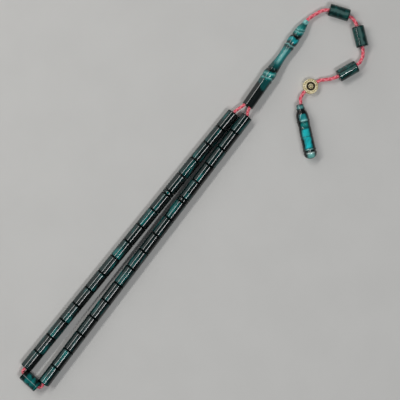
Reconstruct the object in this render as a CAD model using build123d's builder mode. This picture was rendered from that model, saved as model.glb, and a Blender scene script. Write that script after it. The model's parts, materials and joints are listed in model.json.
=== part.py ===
"""Misbaha prayer beads, lying flat on a table, as separate pieces in millimetres.

The loop lies along +X, from the foot bead to the imam, the long turned head bead.
The tail leaves the imam's far end and curls back towards -Y, seen from above.
Every piece rests on z = 0. Places in plan are given as (along, across) from the loop's
foot, and at() turns them into the part's frame, whose origin is under its middle.
"""
from build123d import *
from math import atan2, cos, degrees, pi, radians, sin, tan
import os

os.makedirs("parts", exist_ok=True)

# ------------------------------------------------------------------ driving dimensions
PLAN_MIDDLE = (140.63, -20.60)  # the middle of the whole layout, in plan

BEAD_DIAMETER = 7.2
BEAD_EDGE = 0.5  # rounding of a bead's end edges
LEFT_BEAD_LENGTH = 11.78
RIGHT_BEAD_LENGTH = 12.03
FOOT_BEAD_LENGTH = 11.7
TAIL_BEAD_LENGTH = 12.2
BEAD_GAP = 0.08  # between neighbours on one strand
BEADS_PER_STRAND = 16
BEADS_ABOVE_SEPARATOR = 5  # counted from the imam
SEPARATOR_THICKNESS = 2.4
SEPARATOR_EDGE = 0.7

LOOP_CORD = 2.0  # diameter
LOOP_BORE = 2.5
TAIL_CORD = 2.2
TAIL_BORE = 2.6
IMAM_BORE = 2.4
BORE_CHAMFER = 0.3

LEFT_FOOT = (4.0, 7.0)  # lower end of the left strand's axis
LEFT_TURN = -1.60  # degrees from +X
RIGHT_FOOT = (3.15, -6.58)
RIGHT_TURN = 0.245
FOOT_BEAD_MIDDLE = (-0.2, 0.45)
FOOT_BEAD_TURN = 84.5

IMAM_BASE = (204.0, -2.3)
IMAM_TURN = 2.61
IMAM_BULGE_AT = 22.6  # the fattest ring, from the base, which rests on the table
IMAM_BULGE_RADIUS = 3.9
IMAM_COLLAR_AT = 46.8  # the upper ring, which rests on the table as well
IMAM_COLLAR_RADIUS = 3.25
IMAM_LENGTH = 61.2
IMAM_MOUTH_RADIUS = 2.7  # the wide bore that hides the knot
IMAM_MOUTH_DEPTH = 13.0
KNOT_LENGTH = 3.4
KNOT_RADIUS = 2.2
KNOT_END_RADIUS = 1.4
KNOT_CLEARANCE = 0.1  # to the shoulder that the knot is pulled against

TAIL_BEADS = (  # middle in plan, and the way that the tail runs through it, in degrees
    ((280.2, -11.5), -69.5),
    ((276.5, -29.8), -128.5),
    ((256.0, -36.3), 157.5),
)
MEDALLION_MIDDLE = (236.0, -24.6)
MEDALLION_TURN = 166.0
MEDALLION_RADIUS = 4.4
MEDALLION_THICKNESS = 3.7
MEDALLION_EDGE = 0.45
MEDALLION_BORE = 2.6
DIMPLES = 20
DIMPLE_CIRCLE = 3.55  # radius
DIMPLE_RADIUS = 0.3
DIMPLE_DEPTH = 0.18
DIMPLE_TAPER = 35
RECESS_RADIUS = 2.6
RECESS_DEPTH = 0.3
RING_OUTER = 2.2  # fine raised ring inside the recess
RING_INNER = 1.85
RING_HEIGHT = 0.21
PETALS = 8
PETAL_CIRCLE = 1.15  # radius
PETAL_RADIUS = 0.36
BOSS_RADIUS = 0.55
ROSETTE_HEIGHT = 0.24

TIP_TOP = (223.4, -26.0)
TIP_TURN = -130.1
TIP_LENGTH = 32.4
TIP_RING_RADIUS = 3.95  # its rings rest on the table
TIP_CHAMBER_AT = 20.6  # the wide bore for the knot starts here, from the top
TIP_CHAMBER_RADIUS = 2.6
CAP_AT = 28.0  # the domed cap starts here, from the top
CAP_RADIUS = 3.6  # where it meets the tip
SPIGOT_RADIUS = 2.55  # the cap's plug, which closes the chamber
SPIGOT_LENGTH = 2.0

BEAD_RADIUS = BEAD_DIAMETER / 2


# ------------------------------------------------------------------------ placing
def at(along, across, height):
    """A place in plan and its height, in the part's frame."""
    return Vector(along - PLAN_MIDDLE[0], across - PLAN_MIDDLE[1], height)


def heading(turn, climb=0.0):
    """A unit vector turned from +X in plan, and climbing from it, in degrees."""
    level = cos(radians(climb))
    return Vector(
        level * cos(radians(turn)), level * sin(radians(turn)), sin(radians(climb))
    )


def across_plane(middle, way):
    """A plane with its normal along a piece's axis."""
    return Plane(origin=middle, x_dir=Vector(0, 0, 1).cross(way), z_dir=way)


def turning_plane(start, way):
    """A plane to draw a turned outline on: x runs along the axis and y away from it."""
    side = Vector(0, 0, 1).cross(way)
    return Plane(origin=start, x_dir=way, z_dir=way.cross(side))


def finish(builder, label):
    builder.part.label = label
    export_step(builder.part, f"parts/{label}.step")


# -------------------------------------------------------------------------- beads
def make_bead(middle, way, length, bore, label):
    """A straight cylinder bead with rounded edges, and a bore with chamfered mouths."""
    with BuildPart(across_plane(middle, way)) as bead:
        Cylinder(BEAD_RADIUS, length)
        fillet(bead.edges().filter_by(GeomType.CIRCLE), BEAD_EDGE)
        Hole(bore / 2)
        mouths = bead.faces().filter_by(GeomType.PLANE).edges()
        chamfer(mouths.group_by(SortBy.RADIUS)[0], BORE_CHAMFER)
    finish(bead, label)


def make_separator(middle, way, label):
    """A thin disc of the beads' diameter with a well rounded rim."""
    with BuildPart(across_plane(middle, way)) as separator:
        Cylinder(BEAD_RADIUS, SEPARATOR_THICKNESS)
        fillet(separator.edges().filter_by(GeomType.CIRCLE), SEPARATOR_EDGE)
        Hole(LOOP_BORE / 2)
    finish(separator, label)


def make_strand(side, foot, turn, bead_length):
    """One side of the loop, threaded from the foot up: bead 16 first, bead 1 last."""
    way = heading(turn)
    reached = at(*foot, BEAD_RADIUS)
    for number in range(BEADS_PER_STRAND, 0, -1):
        if number == BEADS_ABOVE_SEPARATOR:
            middle = reached + way * (SEPARATOR_THICKNESS / 2)
            make_separator(middle, way, f"{side}_separator")
            reached += way * (SEPARATOR_THICKNESS + BEAD_GAP)
        middle = reached + way * (bead_length / 2)
        make_bead(middle, way, bead_length, LOOP_BORE, f"{side}_bead_{number:02d}")
        reached += way * (bead_length + BEAD_GAP)


make_strand("left", LEFT_FOOT, LEFT_TURN, LEFT_BEAD_LENGTH)
make_strand("right", RIGHT_FOOT, RIGHT_TURN, RIGHT_BEAD_LENGTH)
make_bead(
    at(*FOOT_BEAD_MIDDLE, BEAD_RADIUS),
    heading(FOOT_BEAD_TURN),
    FOOT_BEAD_LENGTH,
    LOOP_BORE,
    "foot_bead",
)
for number, (middle, turn) in enumerate(TAIL_BEADS, 1):
    make_bead(
        at(*middle, BEAD_RADIUS),
        heading(turn),
        TAIL_BEAD_LENGTH,
        TAIL_BORE,
        f"tail_bead_{number}",
    )


# --------------------------------------------------------------------------- imam
def bulge(start, end, height):
    """A round stretch of a turned outline, its middle height above its ends' middle."""
    middle = ((start[0] + end[0]) / 2, (start[1] + end[1]) / 2 + height)
    return ThreePointArc(start, middle, end)


# the imam leans so that its bulge and its collar both touch the table
imam_lean = -degrees(
    atan2(IMAM_BULGE_RADIUS - IMAM_COLLAR_RADIUS, IMAM_COLLAR_AT - IMAM_BULGE_AT)
)
imam_way = heading(IMAM_TURN, imam_lean)
imam_base_height = (
    IMAM_BULGE_RADIUS / cos(radians(imam_lean)) - IMAM_BULGE_AT * sin(radians(imam_lean))
)
imam_base = at(*IMAM_BASE, imam_base_height)

with BuildPart() as imam:
    with BuildSketch(turning_plane(imam_base, imam_way)):
        with BuildLine():
            Line((0, 0), (0, 3.15))
            RadiusArc((0, 3.15), (0.35, 3.5), 0.35)  # rounded base edge
            Line((0.35, 3.5), (18.2, 3.62))  # long shaft, flaring slightly
            bulge((18.2, 3.62), (19.7, 3.6), 0.28)  # fine ring
            Line((19.7, 3.6), (20.4, 3.55))
            bulge((20.4, 3.55), (24.8, 3.55), IMAM_BULGE_RADIUS - 3.55)
            bulge((24.8, 3.55), (26.4, 3.3), -0.25)  # cove under it
            Spline(  # long waist
                (26.4, 3.3),
                (30.8, 2.8),
                (36.2, 2.5),
                (41.6, 2.85),
                tangents=((1, -0.1), (1, 0.1)),
            )
            bulge((41.6, 2.85), (43.2, 2.9), 0.26)
            bulge((43.2, 2.9), (44.6, 3.0), -0.22)
            bulge((44.6, 3.0), (49.0, 3.0), IMAM_COLLAR_RADIUS - 3.0)
            bulge((49.0, 3.0), (50.4, 2.85), -0.28)  # groove
            bulge((50.4, 2.85), (53.0, 2.75), 0.14)  # upper bulb
            bulge((53.0, 2.75), (54.2, 2.65), 0.2)  # two fine rings
            Line((54.2, 2.65), (54.8, 2.6))
            bulge((54.8, 2.6), (56.0, 2.4), 0.2)
            Spline(  # cone to the tail's mouth
                (56.0, 2.4),
                (58.4, 1.85),
                (IMAM_LENGTH - 0.3, 1.5),
                tangents=((1, -0.26), (1, -0.1)),
            )
            RadiusArc((IMAM_LENGTH - 0.3, 1.5), (IMAM_LENGTH, 1.3), 0.3)
            Line((IMAM_LENGTH, 1.3), (IMAM_LENGTH, 0))
            Line((IMAM_LENGTH, 0), (0, 0))
        make_face()
    revolve(axis=Axis(imam_base, imam_way))
    with BuildSketch(across_plane(imam_base, imam_way)):
        Circle(IMAM_BORE / 2)
    extrude(amount=IMAM_LENGTH, mode=Mode.SUBTRACT)
    with BuildSketch(across_plane(imam_base, imam_way)):
        Circle(IMAM_MOUTH_RADIUS)
    extrude(amount=IMAM_MOUTH_DEPTH, mode=Mode.SUBTRACT)
    base_face = imam.faces().filter_by(GeomType.PLANE).sort_by(Axis.X)[0]
    chamfer(base_face.edges().group_by(SortBy.RADIUS)[0], BORE_CHAMFER)
finish(imam, "imam")


# -------------------------------------------------------------------------- knots
def make_knot(start, way, label):
    """A knot pulled tight: a barrel that is too fat for the cord's bore."""
    with BuildPart() as knot:
        with BuildSketch(turning_plane(start, way)):
            with BuildLine():
                Line((0, 0), (0, KNOT_END_RADIUS))
                Spline(
                    (0, KNOT_END_RADIUS),
                    (KNOT_LENGTH / 2, KNOT_RADIUS),
                    (KNOT_LENGTH, KNOT_END_RADIUS),
                    tangents=((1, 0.8), (1, -0.8)),
                )
                Line((KNOT_LENGTH, KNOT_END_RADIUS), (KNOT_LENGTH, 0))
                Line((KNOT_LENGTH, 0), (0, 0))
            make_face()
        revolve(axis=Axis(start, way))
    finish(knot, label)


imam_knot_at = IMAM_MOUTH_DEPTH - KNOT_LENGTH - KNOT_CLEARANCE
make_knot(imam_base + imam_way * imam_knot_at, imam_way, "imam_knot")

tip_way = heading(TIP_TURN)
tip_top = at(*TIP_TOP, TIP_RING_RADIUS)
tip_knot_at = TIP_CHAMBER_AT + KNOT_CLEARANCE
make_knot(tip_top + tip_way * tip_knot_at, tip_way, "tip_knot")

# ---------------------------------------------------------------------------- tip
with BuildPart() as tip:
    with BuildSketch(turning_plane(tip_top, tip_way)):
        with BuildLine():
            Line((0, 0), (0, 1.8))
            RadiusArc((0, 1.8), (0.3, 2.1), 0.3)
            Line((0.3, 2.1), (1.9, 2.2))
            bulge((1.9, 2.2), (3.1, 2.35), 0.3)  # ring on the neck
            Spline((3.1, 2.35), (5.3, 3.3), tangents=((1, 0.1), (1, 0.25)))
            Spline((5.3, 3.3), (9.2, 3.7), tangents=((1, 0.45), (1, 0.0)))
            bulge((9.2, 3.7), (10.4, 3.7), TIP_RING_RADIUS - 3.7)  # shoulder ring
            Line((10.4, 3.7), (11.6, 3.62))
            bulge((11.6, 3.62), (14.4, 3.62), -0.15)  # waist
            Line((14.4, 3.62), (19.0, 3.66))
            bulge((19.0, 3.66), (19.5, 3.66), -0.12)  # scribed line
            Line((19.5, 3.66), (26.4, 3.72))
            bulge((26.4, 3.72), (27.5, 3.72), TIP_RING_RADIUS - 3.72)  # lower ring
            Line((27.5, 3.72), (CAP_AT, CAP_RADIUS))
            Line((CAP_AT, CAP_RADIUS), (CAP_AT, 0))
            Line((CAP_AT, 0), (0, 0))
        make_face()
    revolve(axis=Axis(tip_top, tip_way))
    with BuildSketch(across_plane(tip_top, tip_way)):
        Circle(TAIL_BORE / 2)
    extrude(amount=CAP_AT, mode=Mode.SUBTRACT)
    with BuildSketch(across_plane(tip_top + tip_way * TIP_CHAMBER_AT, tip_way)):
        Circle(TIP_CHAMBER_RADIUS)
    extrude(amount=CAP_AT - TIP_CHAMBER_AT, mode=Mode.SUBTRACT)
finish(tip, "tip")

spigot_at = CAP_AT - SPIGOT_LENGTH
with BuildPart() as tip_cap:
    with BuildSketch(turning_plane(tip_top, tip_way)):
        with BuildLine():
            Line((spigot_at, 0), (spigot_at, SPIGOT_RADIUS))
            Line((spigot_at, SPIGOT_RADIUS), (CAP_AT, SPIGOT_RADIUS))
            Line((CAP_AT, SPIGOT_RADIUS), (CAP_AT, CAP_RADIUS))
            Line((CAP_AT, CAP_RADIUS), (28.5, 3.7))
            bulge((28.5, 3.7), (29.7, 3.7), TIP_RING_RADIUS - 3.7)  # end ring
            Spline(  # dome
                (29.7, 3.7),
                (31.6, 2.5),
                (TIP_LENGTH, 0),
                tangents=((1, -0.15), (0, -1)),
            )
            Line((TIP_LENGTH, 0), (spigot_at, 0))
        make_face()
    revolve(axis=Axis(tip_top, tip_way))
finish(tip_cap, "tip_cap")

# ---------------------------------------------------------------------- medallion
medallion_way = heading(MEDALLION_TURN)
half_thickness = MEDALLION_THICKNESS / 2
medallion_middle = at(*MEDALLION_MIDDLE, half_thickness)
level = Plane(origin=medallion_middle, x_dir=medallion_way, z_dir=(0, 0, 1))

with BuildPart(level) as medallion:
    Cylinder(MEDALLION_RADIUS, MEDALLION_THICKNESS)
    fillet(medallion.edges().filter_by(GeomType.CIRCLE), MEDALLION_EDGE)
    for face_side in (1, -1):
        face = Plane(
            origin=medallion_middle + Vector(0, 0, face_side * half_thickness),
            x_dir=medallion_way,
            z_dir=(0, 0, face_side),
        )
        with BuildSketch(face):
            Circle(RECESS_RADIUS)
        extrude(amount=-RECESS_DEPTH, mode=Mode.SUBTRACT)
        floor = face.offset(-RECESS_DEPTH)
        with BuildSketch(floor):
            Circle(RING_OUTER)
            Circle(RING_INNER, mode=Mode.SUBTRACT)
        extrude(amount=RING_HEIGHT)
        with BuildSketch(floor):  # plain rosette
            Circle(BOSS_RADIUS)
            with PolarLocations(PETAL_CIRCLE, PETALS):
                Circle(PETAL_RADIUS)
        extrude(amount=ROSETTE_HEIGHT)
        with BuildSketch(face):
            with PolarLocations(DIMPLE_CIRCLE, DIMPLES):
                Circle(DIMPLE_RADIUS)
        extrude(amount=-DIMPLE_DEPTH, taper=DIMPLE_TAPER, mode=Mode.SUBTRACT)
    with BuildSketch(across_plane(medallion_middle, medallion_way)):
        Circle(MEDALLION_BORE / 2)
    extrude(amount=MEDALLION_RADIUS, both=True, mode=Mode.SUBTRACT)
finish(medallion, "medallion")


# -------------------------------------------------------------------------- cords
def make_cord(route, diameter, label):
    """A cord as a tube: straight runs joined by arcs as large as the runs allow."""
    radii = []
    for before, corner, after in zip(route, route[1:], route[2:]):
        run_in = corner - before
        run_out = after - corner
        turn = radians(run_in.get_angle(run_out))
        radii.append(0.45 * min(run_in.length, run_out.length) / tan(turn / 2))
    with BuildPart() as cord:
        with BuildLine() as line:
            FilletPolyline(*route, radius=radii)
        path = line.wire()
        with BuildSketch(Plane(origin=path @ 0, z_dir=path % 0)):
            Circle(diameter / 2)
        sweep(path=path)
    finish(cord, label)
    whole = pi * diameter**2 / 4 * path.length
    print(label, "radii", [round(radius, 1) for radius in radii])
    print(label, f"length {path.length:.1f}, volume {cord.part.volume / whole:.4f} of it")


STRAND_HEIGHT = BEAD_RADIUS  # of the strands' axes
LOOP_ROUTE = (  # from the imam's knot down the left strand and up the right one
    (213.88, -0.82, 4.24),
    (203.90, -0.75, 4.50),
    (200.00, 0.75, 3.90),
    (197.00, 1.61, STRAND_HEIGHT),
    (3.90, 7.00, STRAND_HEIGHT),
    (1.45, 7.50, STRAND_HEIGHT),
    (0.37, 6.42, STRAND_HEIGHT),
    (-0.78, -5.52, STRAND_HEIGHT),
    (0.40, -7.10, STRAND_HEIGHT),
    (2.95, -6.60, STRAND_HEIGHT),
    (199.70, -5.74, STRAND_HEIGHT),
    (201.70, -4.50, 4.10),
    (203.90, -3.85, 4.50),
    (213.88, -2.88, 4.24),
)
TAIL_ROUTE = (  # from the imam's knot to the tip's knot
    (216.38, -1.74, 4.17),
    (266.70, 0.56, 2.82),
    (272.20, -1.45, 2.20),
    (277.45, -4.15, STRAND_HEIGHT),
    (282.76, -18.33, STRAND_HEIGHT),
    (281.35, -23.72, STRAND_HEIGHT),
    (271.80, -35.70, STRAND_HEIGHT),
    (268.40, -38.35, 3.00),
    (263.15, -39.26, STRAND_HEIGHT),
    (248.90, -33.36, STRAND_HEIGHT),
    (245.00, -30.00, 2.70),
    (241.82, -26.05, 1.85),
    (230.18, -23.15, 1.85),
    (224.20, -25.05, 3.95),
    (209.20, -42.83, 3.95),
)

make_cord([at(*point) for point in LOOP_ROUTE], LOOP_CORD, "loop_cord")
make_cord([at(*point) for point in TAIL_ROUTE], TAIL_CORD, "tail_cord")
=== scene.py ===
import json
from math import cos, pi, sin

import bmesh
import bpy
from mathutils import Matrix, Vector


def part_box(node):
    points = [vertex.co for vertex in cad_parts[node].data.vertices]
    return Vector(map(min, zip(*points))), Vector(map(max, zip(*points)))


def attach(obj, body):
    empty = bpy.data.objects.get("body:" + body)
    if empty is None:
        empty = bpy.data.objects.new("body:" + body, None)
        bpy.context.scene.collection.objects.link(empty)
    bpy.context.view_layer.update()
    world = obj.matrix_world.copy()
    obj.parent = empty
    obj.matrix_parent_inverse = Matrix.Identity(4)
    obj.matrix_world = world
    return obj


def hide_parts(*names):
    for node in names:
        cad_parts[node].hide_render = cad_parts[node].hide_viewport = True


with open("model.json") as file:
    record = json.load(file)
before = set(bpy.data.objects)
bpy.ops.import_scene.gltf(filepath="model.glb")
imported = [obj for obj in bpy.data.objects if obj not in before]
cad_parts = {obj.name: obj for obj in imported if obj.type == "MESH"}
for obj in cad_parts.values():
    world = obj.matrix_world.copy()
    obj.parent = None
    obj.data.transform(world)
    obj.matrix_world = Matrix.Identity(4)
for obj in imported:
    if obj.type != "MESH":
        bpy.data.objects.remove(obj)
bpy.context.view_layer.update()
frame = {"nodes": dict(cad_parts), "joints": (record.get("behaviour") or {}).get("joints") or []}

# Misbaha prayer beads on a pale floor. Lengths are in metres and in the frame's axes, except
# that the cords' routes are plan places in millimetres, as the CAD gives them, through at().
MM = 0.001
nodes = frame["nodes"]
joints = {joint["child"]: joint for joint in frame["joints"]}

# ------------------------------------------------------------------------ driving values
PLAN_MIDDLE = (140.63, -20.60)  # the middle of the whole layout, in plan
LOOP_CORD = 2.0 * MM  # diameters
TAIL_CORD = 2.2 * MM
STRAND_HEIGHT = 3.6  # of the strands' axes, in millimetres

VIEW_MIDDLE = (143.72, -13.83)  # in plan
VIEW_UP = Vector((0.7927, 0.6096, 0))  # the picture's up, on the floor
VIEW_WIDTH = 233.9 * MM  # at the strands' height
VIEW_HEIGHT = 0.7  # of the camera, above the strands
SENSOR_WIDTH = 36.0
CLIP_START = 0.01
FLOOR_SIZE = 8.0
SKY_COLOUR = (0.92, 0.96, 1.0)
SKY_STRENGTH = 0.10


def at(along, across, height):
    """A place in plan and its height, in millimetres, as a point of the frame."""
    return Vector((along - PLAN_MIDDLE[0], across - PLAN_MIDDLE[1], height)) * MM


LOOP_ROUTE = [at(*point) for point in (
    (213.88, -0.82, 4.24),
    (203.90, -0.75, 4.50),
    (200.00, 0.75, 3.90),
    (197.00, 1.61, STRAND_HEIGHT),
    (191.00, 1.78, STRAND_HEIGHT),
    (6.00, 6.94, STRAND_HEIGHT),
    (3.90, 7.00, STRAND_HEIGHT),
    (1.45, 7.50, STRAND_HEIGHT),
    (0.37, 6.42, STRAND_HEIGHT),
    (0.26, 5.30, STRAND_HEIGHT),
    (-0.67, -4.40, STRAND_HEIGHT),
    (-0.78, -5.52, STRAND_HEIGHT),
    (0.40, -7.10, STRAND_HEIGHT),
    (2.95, -6.60, STRAND_HEIGHT),
    (5.00, -6.59, STRAND_HEIGHT),
    (196.00, -5.76, STRAND_HEIGHT),
    (199.70, -5.74, STRAND_HEIGHT),
    (201.70, -4.50, 4.10),
    (203.90, -3.85, 4.50),
    (213.88, -2.88, 4.24),
)]
TAIL_ROUTE = [at(*point) for point in (
    (216.38, -1.74, 4.17),
    (262.00, 0.35, 2.95),
    (266.70, 0.56, 2.82),
    (272.20, -1.45, 2.20),
    (277.45, -4.15, STRAND_HEIGHT),
    (282.76, -18.33, STRAND_HEIGHT),
    (281.35, -23.72, STRAND_HEIGHT),
    (271.80, -35.70, STRAND_HEIGHT),
    (268.40, -38.35, 3.00),
    (263.15, -39.26, STRAND_HEIGHT),
    (248.90, -33.36, STRAND_HEIGHT),
    (245.00, -30.00, 2.70),
    (241.82, -26.05, 1.85),
    (230.18, -23.15, 1.85),
    (224.20, -25.05, 3.95),
    (209.20, -42.83, 3.95),
)]


# ------------------------------------------------------------------------------- shading
def node(tree, kind, inputs=None, **settings):
    """A new shader node with its settings, and its inputs as values or other nodes' sockets."""
    made = tree.nodes.new("ShaderNode" + kind)
    for name, value in settings.items():
        setattr(made, name, value)
    for socket, value in (inputs or {}).items():
        if isinstance(value, bpy.types.NodeSocket):
            tree.links.new(value, made.inputs[socket])
        else:
            made.inputs[socket].default_value = value
    return made


def ramp(tree, factor, stops, interpolation="EASE"):
    """Colours between stops, which are (place from 0 to 1, (red, green, blue))."""
    made = node(tree, "ValToRGB", {"Fac": factor})
    made.color_ramp.interpolation = interpolation
    band = made.color_ramp.elements
    while len(band) < len(stops):
        band.new(1.0)
    for element, (place, colour) in zip(band, stops):
        element.position = place
        element.color = (*colour, 1)
    return made.outputs["Color"]


def spread(tree, value, low, high, to_low, to_high):
    """A value from low to high, spread from to_low to to_high."""
    return node(tree, "MapRange", {
        "Value": value,
        "From Min": low,
        "From Max": high,
        "To Min": to_low,
        "To Max": to_high,
    }).outputs["Result"]


def calc(tree, operation, first, second=0.0):
    """One sum on two values, which may be other nodes' sockets."""
    return node(tree, "Math", {0: first, 1: second}, operation=operation).outputs[0]


def mix(tree, factor, first, second, blend="MIX"):
    """Two colours mixed by a factor."""
    made = node(tree, "MixRGB", {"Fac": factor}, blend_type=blend)
    for socket, colour in (("Color1", first), ("Color2", second)):
        if isinstance(colour, bpy.types.NodeSocket):
            tree.links.new(colour, made.inputs[socket])
        else:
            made.inputs[socket].default_value = (*colour, 1)
    return made.outputs["Color"]


def noise(tree, vector, scale, detail=3.0, distortion=0.0):
    """Noise from 0 to 1. scale is in bumps per metre."""
    return node(tree, "TexNoise", {
        "Vector": vector,
        "Scale": scale,
        "Detail": detail,
        "Distortion": distortion,
    }).outputs["Fac"]


def new_material(name, **sockets):
    """A material, its node tree and its main shader, with plain values on its sockets."""
    material = bpy.data.materials.new(name)
    material.use_nodes = True
    tree = material.node_tree
    shader = tree.nodes["Principled BSDF"]
    for socket, value in sockets.items():
        shader.inputs[socket.replace("_", " ")].default_value = value
    return material, tree, shader


def place(tree, offset=(0, 0, 0), scale=(1, 1, 1), rotation=(0, 0, 0)):
    """Where a point is on its own piece, so that a pattern turns with it."""
    here = node(tree, "TexCoord").outputs["Object"]
    return node(tree, "Mapping", {
        "Vector": here,
        "Location": offset,
        "Rotation": rotation,
        "Scale": scale,
    }).outputs["Vector"]


def polish(tree, shader, vector, low, high, bump):
    """A polish that isn't quite even: its roughness varies, and its surface waves slightly."""
    smears = noise(tree, vector, 160, detail=4, distortion=0.6)
    tree.links.new(spread(tree, smears, 0.35, 0.7, low, high), shader.inputs["Roughness"])
    waves = noise(tree, vector, 420, detail=2)
    raised = node(tree, "Bump", {"Height": waves, "Strength": bump, "Distance": 0.1 * MM})
    tree.links.new(raised.outputs["Normal"], shader.inputs["Normal"])


BLACK = (0.002, 0.004, 0.004)
DEEP = (0.002, 0.024, 0.025)
TEAL = (0.003, 0.100, 0.100)
BRIGHT = (0.010, 0.330, 0.310)
CYAN = (0.015, 0.520, 0.560)
PALE = (0.300, 0.700, 0.680)


def along_axis(tree, start, way):
    """How far a point is from start along way, in millimetres."""
    here = node(tree, "TexCoord").outputs["Object"]
    from_start = node(tree, "VectorMath", {0: here, 1: start}, operation="SUBTRACT")
    distance = node(
        tree, "VectorMath", {0: from_start.outputs[0], 1: way}, operation="DOT_PRODUCT"
    )
    return calc(tree, "MULTIPLY", distance.outputs["Value"], 1 / MM)


def half_length(name, middle, way):
    """Half of a CAD node's length along an axis through its middle, in millimetres."""
    return max((vertex.co - middle).dot(way) for vertex in nodes[name].data.vertices) / MM


def bead_resin(name, offset, share):
    """Near black resin with irregular teal swirls along the bead. share is how much is teal."""
    material, tree, shader = new_material(name + "_resin", IOR=1.55)
    way = Vector(joints[name]["axis"])
    low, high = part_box(name)
    middle = (low + high) / 2
    here = place(tree, offset, scale=(0.25, 1, 1))
    swirl = noise(tree, here, 300, detail=2, distortion=0.4)
    beside = along_axis(tree, middle, way.cross(Vector((0, 0, 1))))
    # painted light, over the resin's own teal swirls: the teal is raised a little along the bead's
    # middle and lowered at its flanks
    core = spread(tree, calc(tree, "ABSOLUTE", beside), 0.0, 3.2, 0.05, -0.05)
    edge = 0.66 - 0.22 * share
    body = ramp(tree, calc(tree, "ADD", swirl, core), (
        (edge - 0.08, BLACK),
        (edge + 0.00, DEEP),
        (edge + 0.08, (0.002, 0.085, 0.084)),
        (edge + 0.17, (0.003, 0.190, 0.185)),
    ))
    veil = noise(tree, here, 900, detail=4, distortion=0.8)
    streaks = ramp(tree, veil, ((0.35, (0.4, 0.4, 0.4)), (0.65, (1, 1, 1))))
    colour = mix(tree, 0.8, body, streaks, "MULTIPLY")
    # painted light: a faint teal added on the side of the bead towards the window light, fading out
    # across it
    painted_window_light = spread(tree, beside, -0.6, 1.2, 1.0, 0.0)
    colour = mix(tree, painted_window_light, colour, (0.0005, 0.010, 0.010), "ADD")
    to_end = calc(tree, "ABSOLUTE", along_axis(tree, middle, way))
    half = half_length(name, middle, way)
    # painted shade: the bead darkens towards black within a millimetre of both ends, for the dark
    # gap between beads that shows through the resin
    painted_end_shade = spread(tree, to_end, half - 1.0, half - 0.3, 0.0, 0.9)
    tree.links.new(mix(tree, painted_end_shade, colour, BLACK), shader.inputs["Base Color"])
    dull_edge = spread(tree, to_end, half - 0.75, half - 0.45, 0.5, 0.06)
    tree.links.new(dull_edge, shader.inputs["Specular IOR Level"])
    polish(tree, shader, here, 0.03, 0.08, bump=0.001)
    return material


def smoky_resin(name):
    """Smoky green resin, half see-through, with paler and darker streaks along the bead, and a pale
    streak of painted light along its middle.
    """
    material, tree, shader = new_material(name + "_resin", IOR=1.5, Transmission_Weight=0.5)
    way = Vector(joints[name]["axis"])
    turn = Vector((1, 0, 0)).rotation_difference(way).inverted().to_euler()
    here = place(tree, scale=(0.3, 1, 1), rotation=turn)
    smoke = noise(tree, here, 420, detail=3, distortion=1.2)
    tint = ramp(tree, smoke, (
        (0.34, (0.003, 0.016, 0.015)),
        (0.50, (0.006, 0.070, 0.065)),
        (0.66, (0.020, 0.170, 0.155)),
    ))
    low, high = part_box(name)
    middle = (low + high) / 2
    beside = along_axis(tree, middle, Vector((0, 0, 1)).cross(way))
    # painted light: a pale streak that wanders along the middle of the bead
    wander = spread(tree, noise(tree, here, 300, detail=2), 0.3, 0.7, -0.5, 0.5)
    from_core = calc(tree, "ABSOLUTE", calc(tree, "ADD", beside, wander))
    core = spread(tree, from_core, 0.5, 1.3, 0.75, 0.0)
    tint = mix(tree, core, tint, (0.160, 0.320, 0.300))
    to_end = calc(tree, "ABSOLUTE", along_axis(tree, middle, way))
    half = half_length(name, middle, way)
    # painted shade: the bead darkens towards black near both ends, for the dark that shows through
    # its end faces
    painted_end_shade = spread(tree, to_end, half - 1.2, half - 0.3, 0.0, 0.8)
    tree.links.new(mix(tree, painted_end_shade, tint, BLACK), shader.inputs["Base Color"])
    polish(tree, shader, here, 0.02, 0.06, bump=0.01)
    return material


def length_tones(tree, up, length, stops):
    """Colours along a turned piece. stops are (millimetres from its start, colour)."""
    share = calc(tree, "DIVIDE", up, length)
    return ramp(tree, share, [(place / length, colour) for place, colour in stops], "LINEAR")


def streaked(tree, body, here, strength=0.7):
    """A colour with fine darker streaks, drawn out along the piece."""
    fine = noise(tree, here, 700, detail=4, distortion=1.0)
    broad = noise(tree, here, 260, detail=2, distortion=1.5)
    dark = ramp(tree, calc(tree, "MULTIPLY", calc(tree, "ADD", fine, broad), 0.5), (
        (0.38, (0.22, 0.30, 0.30)),
        (0.50, (0.80, 0.85, 0.85)),
        (0.60, (1.15, 1.10, 1.10)),
    ))
    return mix(tree, strength, body, dark, "MULTIPLY")


# The pale stops at 22.8 and 43.8 mm are painted highlights, glints on the bulge and by the collar.
IMAM_TONES = (
    (0.0, TEAL),
    (18.6, TEAL),
    (19.2, BRIGHT),
    (19.9, PALE),
    (20.5, TEAL),
    (22.0, BRIGHT),
    (22.8, PALE),
    (23.6, BRIGHT),
    (24.6, TEAL),
    (25.2, BLACK),
    (26.8, DEEP),
    (29.0, TEAL),
    (32.0, (0.012, 0.210, 0.215)),
    (36.0, (0.015, 0.250, 0.250)),
    (40.5, (0.015, 0.220, 0.220)),
    (42.8, DEEP),
    (43.8, PALE),
    (44.6, BLACK),
    (45.8, TEAL),
    (46.8, CYAN),
    (48.4, CYAN),
    (49.4, BLACK),
    (50.8, BLACK),
    (51.8, TEAL),
    (53.1, BRIGHT),
    (53.6, PALE),
    (54.2, TEAL),
    (54.9, BRIGHT),
    (55.4, PALE),
    (55.9, BRIGHT),
    (59.0, TEAL),
    (60.0, PALE),
)


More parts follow.
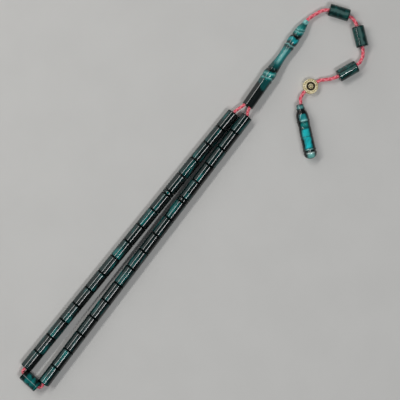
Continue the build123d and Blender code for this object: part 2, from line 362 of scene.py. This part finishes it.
def imam_resin(start, way, length):
    """Marbled turquoise resin with dark bands, painted highlights, a pale streak of painted light
    along its waist and painted shade on its flanks. Its base is black, up to a slanted edge.
    """
    material, tree, shader = new_material("imam_resin", IOR=1.55)
    here = place(tree, scale=(0.3, 1, 1))
    up = along_axis(tree, start, way)
    across = along_axis(tree, start, Vector((0, 1, 0)))
    wander = spread(tree, noise(tree, here, 330, detail=2), 0.3, 0.7, -0.9, 0.9)
    uneven = calc(tree, "ADD", calc(tree, "ADD", up, wander), calc(tree, "MULTIPLY", across, 0.2))
    body = streaked(tree, length_tones(tree, uneven, length, IMAM_TONES), here)
    slanted = calc(tree, "SUBTRACT", uneven, calc(tree, "MULTIPLY", across, 0.75))
    dark_base = spread(tree, slanted, 12.6, 13.8, 1.0, 0.0)
    from_core = calc(tree, "ABSOLUTE", along_axis(tree, start, Vector((0, 0, 1)).cross(way)))
    # painted shade: the flanks, away from the middle line, darken towards deep teal
    painted_flank_shade = spread(tree, from_core, 1.9, 3.6, 0.0, 0.6)
    body = mix(tree, painted_flank_shade, body, DEEP)
    waist_start = spread(tree, uneven, 30.0, 33.0, 0.0, 1.0)
    waist_end = spread(tree, uneven, 40.0, 42.0, 1.0, 0.0)
    in_waist = calc(tree, "MULTIPLY", waist_start, waist_end)
    # painted light: a pale streak along the middle of the waist
    painted_waist_light = spread(tree, from_core, 0.3, 1.0, 0.7, 0.0)
    body = mix(tree, calc(tree, "MULTIPLY", in_waist, painted_waist_light), body, PALE)
    colour = mix(tree, dark_base, body, (0.004, 0.008, 0.008))
    tree.links.new(colour, shader.inputs["Base Color"])
    polish(tree, shader, here, 0.04, 0.12, bump=0.02)
    return material


# The near white stop at 29.0 mm is a painted highlight on the wider ring.
TIP_TONES = (
    (0.0, DEEP),
    (1.8, (0.150, 0.420, 0.420)),
    (3.0, DEEP),
    (3.4, BLACK),
    (5.6, BLACK),
    (6.4, (0.012, 0.280, 0.300)),
    (8.8, (0.030, 0.340, 0.360)),
    (9.8, PALE),
    (10.6, TEAL),
    (12.0, BRIGHT),
    (14.4, TEAL),
    (15.4, CYAN),
    (19.0, CYAN),
    (19.3, TEAL),
    (19.6, CYAN),
    (25.6, (0.015, 0.600, 0.680)),
    (26.5, TEAL),
    (26.9, PALE),
    (27.4, DEEP),
    (28.5, DEEP),
    (29.0, (0.700, 0.900, 0.860)),
    (29.8, PALE),
    (31.5, (0.160, 0.600, 0.540)),
    (32.4, BLACK),
)


def tip_resin(start, way, length):
    """Layered resin: a bright turquoise layer between two black ones, turned to shape."""
    material, tree, shader = new_material("tip_resin", IOR=1.55)
    turn = Vector((1, 0, 0)).rotation_difference(way).inverted().to_euler()
    here = place(tree, scale=(0.4, 1, 1), rotation=turn)
    side = Vector((0, 0, 1)).cross(way)
    across = along_axis(tree, start, side)
    wander = spread(tree, noise(tree, here, 260, detail=2), 0.3, 0.7, -0.5, 0.5)
    depth = calc(tree, "ABSOLUTE", calc(tree, "ADD", across, wander))
    layer = spread(tree, depth, 1.2, 2.6, 1.0, 0.0)
    tones = length_tones(tree, along_axis(tree, start, way), length, TIP_TONES)
    colour = mix(tree, layer, BLACK, streaked(tree, tones, here, 0.5))
    tree.links.new(colour, shader.inputs["Base Color"])
    polish(tree, shader, here, 0.04, 0.12, bump=0.02)
    return material


def cord_thread():
    """Coral nylon with fine fibres, pale on the strands' crests and deep red between them: painted
    light and shade.
    """
    material, tree, shader = new_material("cord_thread", Roughness=0.62, Sheen_Weight=0.25)
    # painted light and shade: the colour follows how raised each part of the braid is
    painted_crest_light = node(tree, "Attribute", attribute_name="painted_crest_light").outputs["Fac"]
    here = place(tree)
    fuzz = spread(tree, noise(tree, here, 2600, detail=3), 0.3, 0.7, -0.12, 0.12)
    height = calc(tree, "ADD", painted_crest_light, fuzz)
    colour = ramp(tree, height, (
        (0.35, (0.480, 0.020, 0.045)),
        (0.60, (0.860, 0.085, 0.140)),
        (0.90, (1.000, 0.300, 0.350)),
    ))
    tree.links.new(colour, shader.inputs["Base Color"])
    fibres = noise(tree, here, 5200, detail=2)
    raised = node(tree, "Bump", {"Height": fibres, "Strength": 0.35, "Distance": 0.05 * MM})
    tree.links.new(raised.outputs["Normal"], shader.inputs["Normal"])
    return material


def pale_brass():
    """Pale gold plating, with dark patina left in the recesses of both faces."""
    material, tree, shader = new_material("medallion_brass", Metallic=0.75)
    low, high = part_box("medallion")
    middle = (low + high) / 2
    here = place(tree)
    from_middle = node(tree, "VectorMath", {0: here, 1: middle}, operation="SUBTRACT")
    parts = node(tree, "SeparateXYZ", {"Vector": from_middle.outputs[0]})
    height = calc(tree, "MULTIPLY", calc(tree, "ABSOLUTE", parts.outputs["Z"]), 1 / MM)
    flat = node(tree, "VectorMath", {0: from_middle.outputs[0], 1: (1, 1, 0)}, operation="MULTIPLY")
    radius = node(tree, "VectorMath", {0: flat.outputs[0]}, operation="LENGTH")
    out = calc(tree, "MULTIPLY", radius.outputs["Value"], 1 / MM)
    sunk = spread(tree, height, 1.66, 1.75, 1.0, 0.0)
    inner = spread(tree, out, 4.05, 4.15, 1.0, 0.0)
    from_ring = calc(tree, "ABSOLUTE", calc(tree, "SUBTRACT", out, 2.1))
    emblem_edge = spread(tree, from_ring, 0.35, 0.55, 0.95, 0.0)
    patina = calc(tree, "MAXIMUM", calc(tree, "MULTIPLY", sunk, inner), emblem_edge)
    wear = noise(tree, here, 900, detail=4)
    gold = ramp(tree, wear, ((0.35, (0.74, 0.62, 0.32)), (0.65, (0.95, 0.86, 0.60))))
    colour = mix(tree, patina, gold, (0.018, 0.012, 0.005))
    tree.links.new(colour, shader.inputs["Base Color"])
    tree.links.new(spread(tree, wear, 0.3, 0.7, 0.38, 0.55), shader.inputs["Roughness"])
    pits = node(tree, "Bump", {
        "Height": noise(tree, here, 2400, detail=3),
        "Strength": 0.15,
        "Distance": 0.05 * MM,
    })
    tree.links.new(pits.outputs["Normal"], shader.inputs["Normal"])
    return material


def paint(name, material):
    """Gives a CAD node one material."""
    material_slots = nodes[name].material_slots
    for material_slot in material_slots:
        material_slot.material = material
    if not material_slots:
        nodes[name].data.materials.append(material)


# ------------------------------------------------------------------------------- beads
TEAL_SHARES = {  # how much teal shows on each bead, from the imam to the foot
    "left": (
        0.25, 0.45, 0.30, 0.75, 0.60, 0.35, 0.65, 0.20,
        0.80, 0.35, 0.55, 0.30, 0.50, 0.70, 0.55, 0.50,
    ),
    "right": (
        0.55, 0.40, 0.50, 0.30, 0.55, 0.45, 0.60, 0.30,
        0.50, 0.65, 0.35, 0.40, 0.45, 0.25, 0.45, 0.80,
    ),
}
for strand, (side, shares) in enumerate(TEAL_SHARES.items()):
    for number, share in enumerate(shares, 1):
        offset = (0.37 * number, 0.91 * strand, 0.53 * number)
        bead = f"{side}_bead_{number:02d}"
        paint(bead, bead_resin(bead, offset, share))
    disc = f"{side}_separator"
    paint(disc, bead_resin(disc, (0, strand, 0), 0.1))
paint("foot_bead", bead_resin("foot_bead", (0.2, 0.4, 0.1), 1.05))

for number in (1, 2, 3):
    paint(f"tail_bead_{number}", smoky_resin(f"tail_bead_{number}"))

# -------------------------------------------------------------------- imam, tip, medallion
imam_way = (TAIL_ROUTE[1] - TAIL_ROUTE[0]).normalized()
imam_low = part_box("imam")[0]
imam_start = TAIL_ROUTE[0] + imam_way * ((imam_low.x - TAIL_ROUTE[0].x) / imam_way.x)
imam_length = (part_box("imam")[1].x - imam_low.x) / imam_way.x / MM
paint("imam", imam_resin(imam_start, imam_way, imam_length))

tip_start = Vector(joints["tip"]["pos_m"])
tip_way = Vector(joints["tip"]["axis"])
layered = tip_resin(tip_start, tip_way, half_length("tip_cap", tip_start, tip_way))
paint("tip", layered)
paint("tip_cap", layered)
paint("medallion", pale_brass())


# -------------------------------------------------------------------------------- cords
def centreline(points, step):
    """The smooth line of a spline with these control points, as points a step apart."""
    curve = bpy.data.curves.new("centreline", "CURVE")
    curve.dimensions = "3D"
    curve.resolution_u = 40
    spline = curve.splines.new("NURBS")
    spline.points.add(len(points) - 1)
    for control, point in zip(spline.points, points):
        control.co = (*point, 1)
    spline.order_u = 3
    spline.use_endpoint_u = True
    holder = bpy.data.objects.new("centreline", curve)
    mesh = bpy.data.meshes.new_from_object(holder)
    read = [vertex.co.copy() for vertex in mesh.vertices]
    bpy.data.objects.remove(holder)
    bpy.data.meshes.remove(mesh)
    line = [read[0]]
    left_over = 0.0
    for start, end in zip(read, read[1:]):
        run = (end - start).length
        reached = step - left_over
        while reached <= run:
            line.append(start.lerp(end, reached / run))
            reached += step
        left_over = run - (reached - step)
    return line


def travelling_frames(line):
    """For each point of a line: its direction and two directions across it, without twist."""
    ways = [(after - before).normalized() for before, after in zip(line, line[1:])]
    ways.append(ways[-1])
    across = ways[0].orthogonal().normalized()
    frames = []
    for before, way in zip([ways[0]] + ways, ways):
        across = before.rotation_difference(way) @ across
        across = (across - way * across.dot(way)).normalized()
        frames.append((way, across, way.cross(across)))
    return frames


CORE_SIDES = 12
CORE_CREST = 0.55  # how raised the core counts as, for its painted light and shade
STRAND_SIDES = 6
# as shares of the cord's diameter, the strand's being half sizes
STRAND_WIDTH = 0.30
STRAND_THICKNESS = 0.13
WEAVE = 0.05
CORE_RADIUS = 0.40


def join_rings(shape, before, ring):
    """Faces from one ring of a tube to the next, or the cap that starts the tube."""
    if before is None:
        shape.faces.new(ring)
        return
    for corner in range(len(ring)):
        beyond = (corner + 1) % len(ring)
        shape.faces.new((before[corner], before[beyond], ring[beyond], ring[corner]))


def braid(name, line, diameter, carriers, pitch):
    """A round braid over a core: as many strands turn one way as the other, over and under."""
    strand_width = STRAND_WIDTH * diameter
    strand_thickness = STRAND_THICKNESS * diameter
    weave = WEAVE * diameter
    core_radius = CORE_RADIUS * diameter
    middle = diameter / 2 - strand_thickness - weave
    frames = travelling_frames(line)
    shape = bmesh.new()
    painted_crest_light = shape.verts.layers.float.new("painted_crest_light")
    step = (line[1] - line[0]).length
    before = None
    for point, (way, across, up) in zip(line, frames):
        ring = []
        for corner in range(CORE_SIDES):
            round_it = 2 * pi * corner / CORE_SIDES
            out = across * cos(round_it) + up * sin(round_it)
            vertex = shape.verts.new(point + out * core_radius)
            vertex[painted_crest_light] = CORE_CREST
            ring.append(vertex)
        join_rings(shape, before, ring)
        before = ring
    shape.faces.new(reversed(before))
    for hand in (1, -1):
        for carrier in range(carriers):
            before = None
            for index, (point, (way, across, up)) in enumerate(zip(line, frames)):
                turned = 2 * pi * step * index / pitch
                angle = hand * turned + 2 * pi * carrier / carriers
                lift = hand * weave * cos(carriers * turned)
                out = across * cos(angle) + up * sin(angle)
                beside = way.cross(out)
                ring = []
                for corner in range(STRAND_SIDES):
                    round_it = 2 * pi * corner / STRAND_SIDES
                    high = lift + strand_thickness * cos(round_it)
                    place_out = out * (middle + high)
                    place_beside = beside * strand_width * sin(round_it)
                    vertex = shape.verts.new(point + place_out + place_beside)
                    # how raised this part of the strand is, which paints light on crests and shade
                    # between them
                    vertex[painted_crest_light] = 0.5 + 0.5 * high / (strand_thickness + weave)
                    ring.append(vertex)
                join_rings(shape, before, ring)
                before = ring
            shape.faces.new(reversed(before))
    bmesh.ops.recalc_face_normals(shape, faces=shape.faces)
    mesh = bpy.data.meshes.new(name)
    shape.to_mesh(mesh)
    shape.free()
    mesh.shade_smooth()
    made = bpy.data.objects.new(name, mesh)
    bpy.context.scene.collection.objects.link(made)
    return made


thread = cord_thread()
CORDS = (  # piece, the CAD node it replaces, route, diameter, strands each way, pitch
    ("loop_braid", "loop_cord", LOOP_ROUTE, LOOP_CORD, 2, 6.0 * MM),
    ("tail_braid", "tail_cord", TAIL_ROUTE, TAIL_CORD, 2, 8.0 * MM),
)
for name, replaced, route, diameter, carriers, pitch in CORDS:
    line = centreline(route, 0.2 * diameter)
    cord = braid(name, line, diameter, carriers, pitch)
    cord.data.materials.append(thread)
    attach(cord, "imam")
    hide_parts(replaced)
for knot in ("imam_knot", "tip_knot"):
    paint(knot, thread)


# ------------------------------------------------------------------------ floor and light
def floor_surface():
    """A plain pale surface with a faint unevenness."""
    material, tree, shader = new_material("floor", Roughness=0.75)
    here = place(tree)
    tone = ramp(tree, noise(tree, here, 30, detail=6), (
        (0.3, (0.625, 0.625, 0.615)),
        (0.7, (0.645, 0.645, 0.635)),
    ))
    tree.links.new(tone, shader.inputs["Base Color"])
    return material


bpy.ops.mesh.primitive_plane_add(size=FLOOR_SIZE, location=(0, 0, 0))
floor = bpy.context.object
floor.name = "floor"
floor.data.materials.append(floor_surface())

world = bpy.data.worlds.new("studio")
bpy.context.scene.world = world
world.use_nodes = True
sky = world.node_tree.nodes["Background"]
sky.inputs["Color"].default_value = (*SKY_COLOUR, 1)
sky.inputs["Strength"].default_value = SKY_STRENGTH


def soft_light(name, stands_at, size, brightness, colour=(1, 1, 1)):
    """A rectangular light that faces the middle. size is (along the strands, across them)."""
    data = bpy.data.lights.new(name, "AREA")
    data.shape = "RECTANGLE"
    data.size, data.size_y = size
    data.energy = brightness * pi * size[0] * size[1]
    data.color = colour
    lamp = bpy.data.objects.new(name, data)
    lamp.location = stands_at
    lamp.rotation_euler = Vector(stands_at).to_track_quat("Z", "Y").to_euler()
    bpy.context.scene.collection.objects.link(lamp)


# the strands run along X, and the picture's upper left is towards +Y
soft_light("window", (0, 0.78, 0.33), (1.50, 0.70), 0.65, (1.0, 0.97, 0.94))
soft_light("key", (0, 0.60, 0.80), (0.90, 0.12), 11.0, (1.0, 0.98, 0.95))
soft_light("lamp", (-0.09, -0.38, 0.90), (0.50, 0.08), 24.0)
soft_light("ceiling", (-0.28, 0.05, 1.15), (0.10, 0.30), 2.5)

# ------------------------------------------------------------------------------- camera
lens = bpy.data.cameras.new("camera")
lens.sensor_width = SENSOR_WIDTH
lens.lens = lens.sensor_width * VIEW_HEIGHT / VIEW_WIDTH
lens.clip_start = CLIP_START
camera = bpy.data.objects.new("camera", lens)
stands_at = at(*VIEW_MIDDLE, STRAND_HEIGHT) + Vector((0, 0, VIEW_HEIGHT))
camera.matrix_world = Matrix.Translation(stands_at) @ Matrix((
    VIEW_UP.cross(Vector((0, 0, 1))),
    VIEW_UP,
    Vector((0, 0, 1)),
)).transposed().to_4x4()
bpy.context.scene.collection.objects.link(camera)
bpy.context.scene.camera = camera
bpy.context.scene.view_settings.view_transform = "Standard"
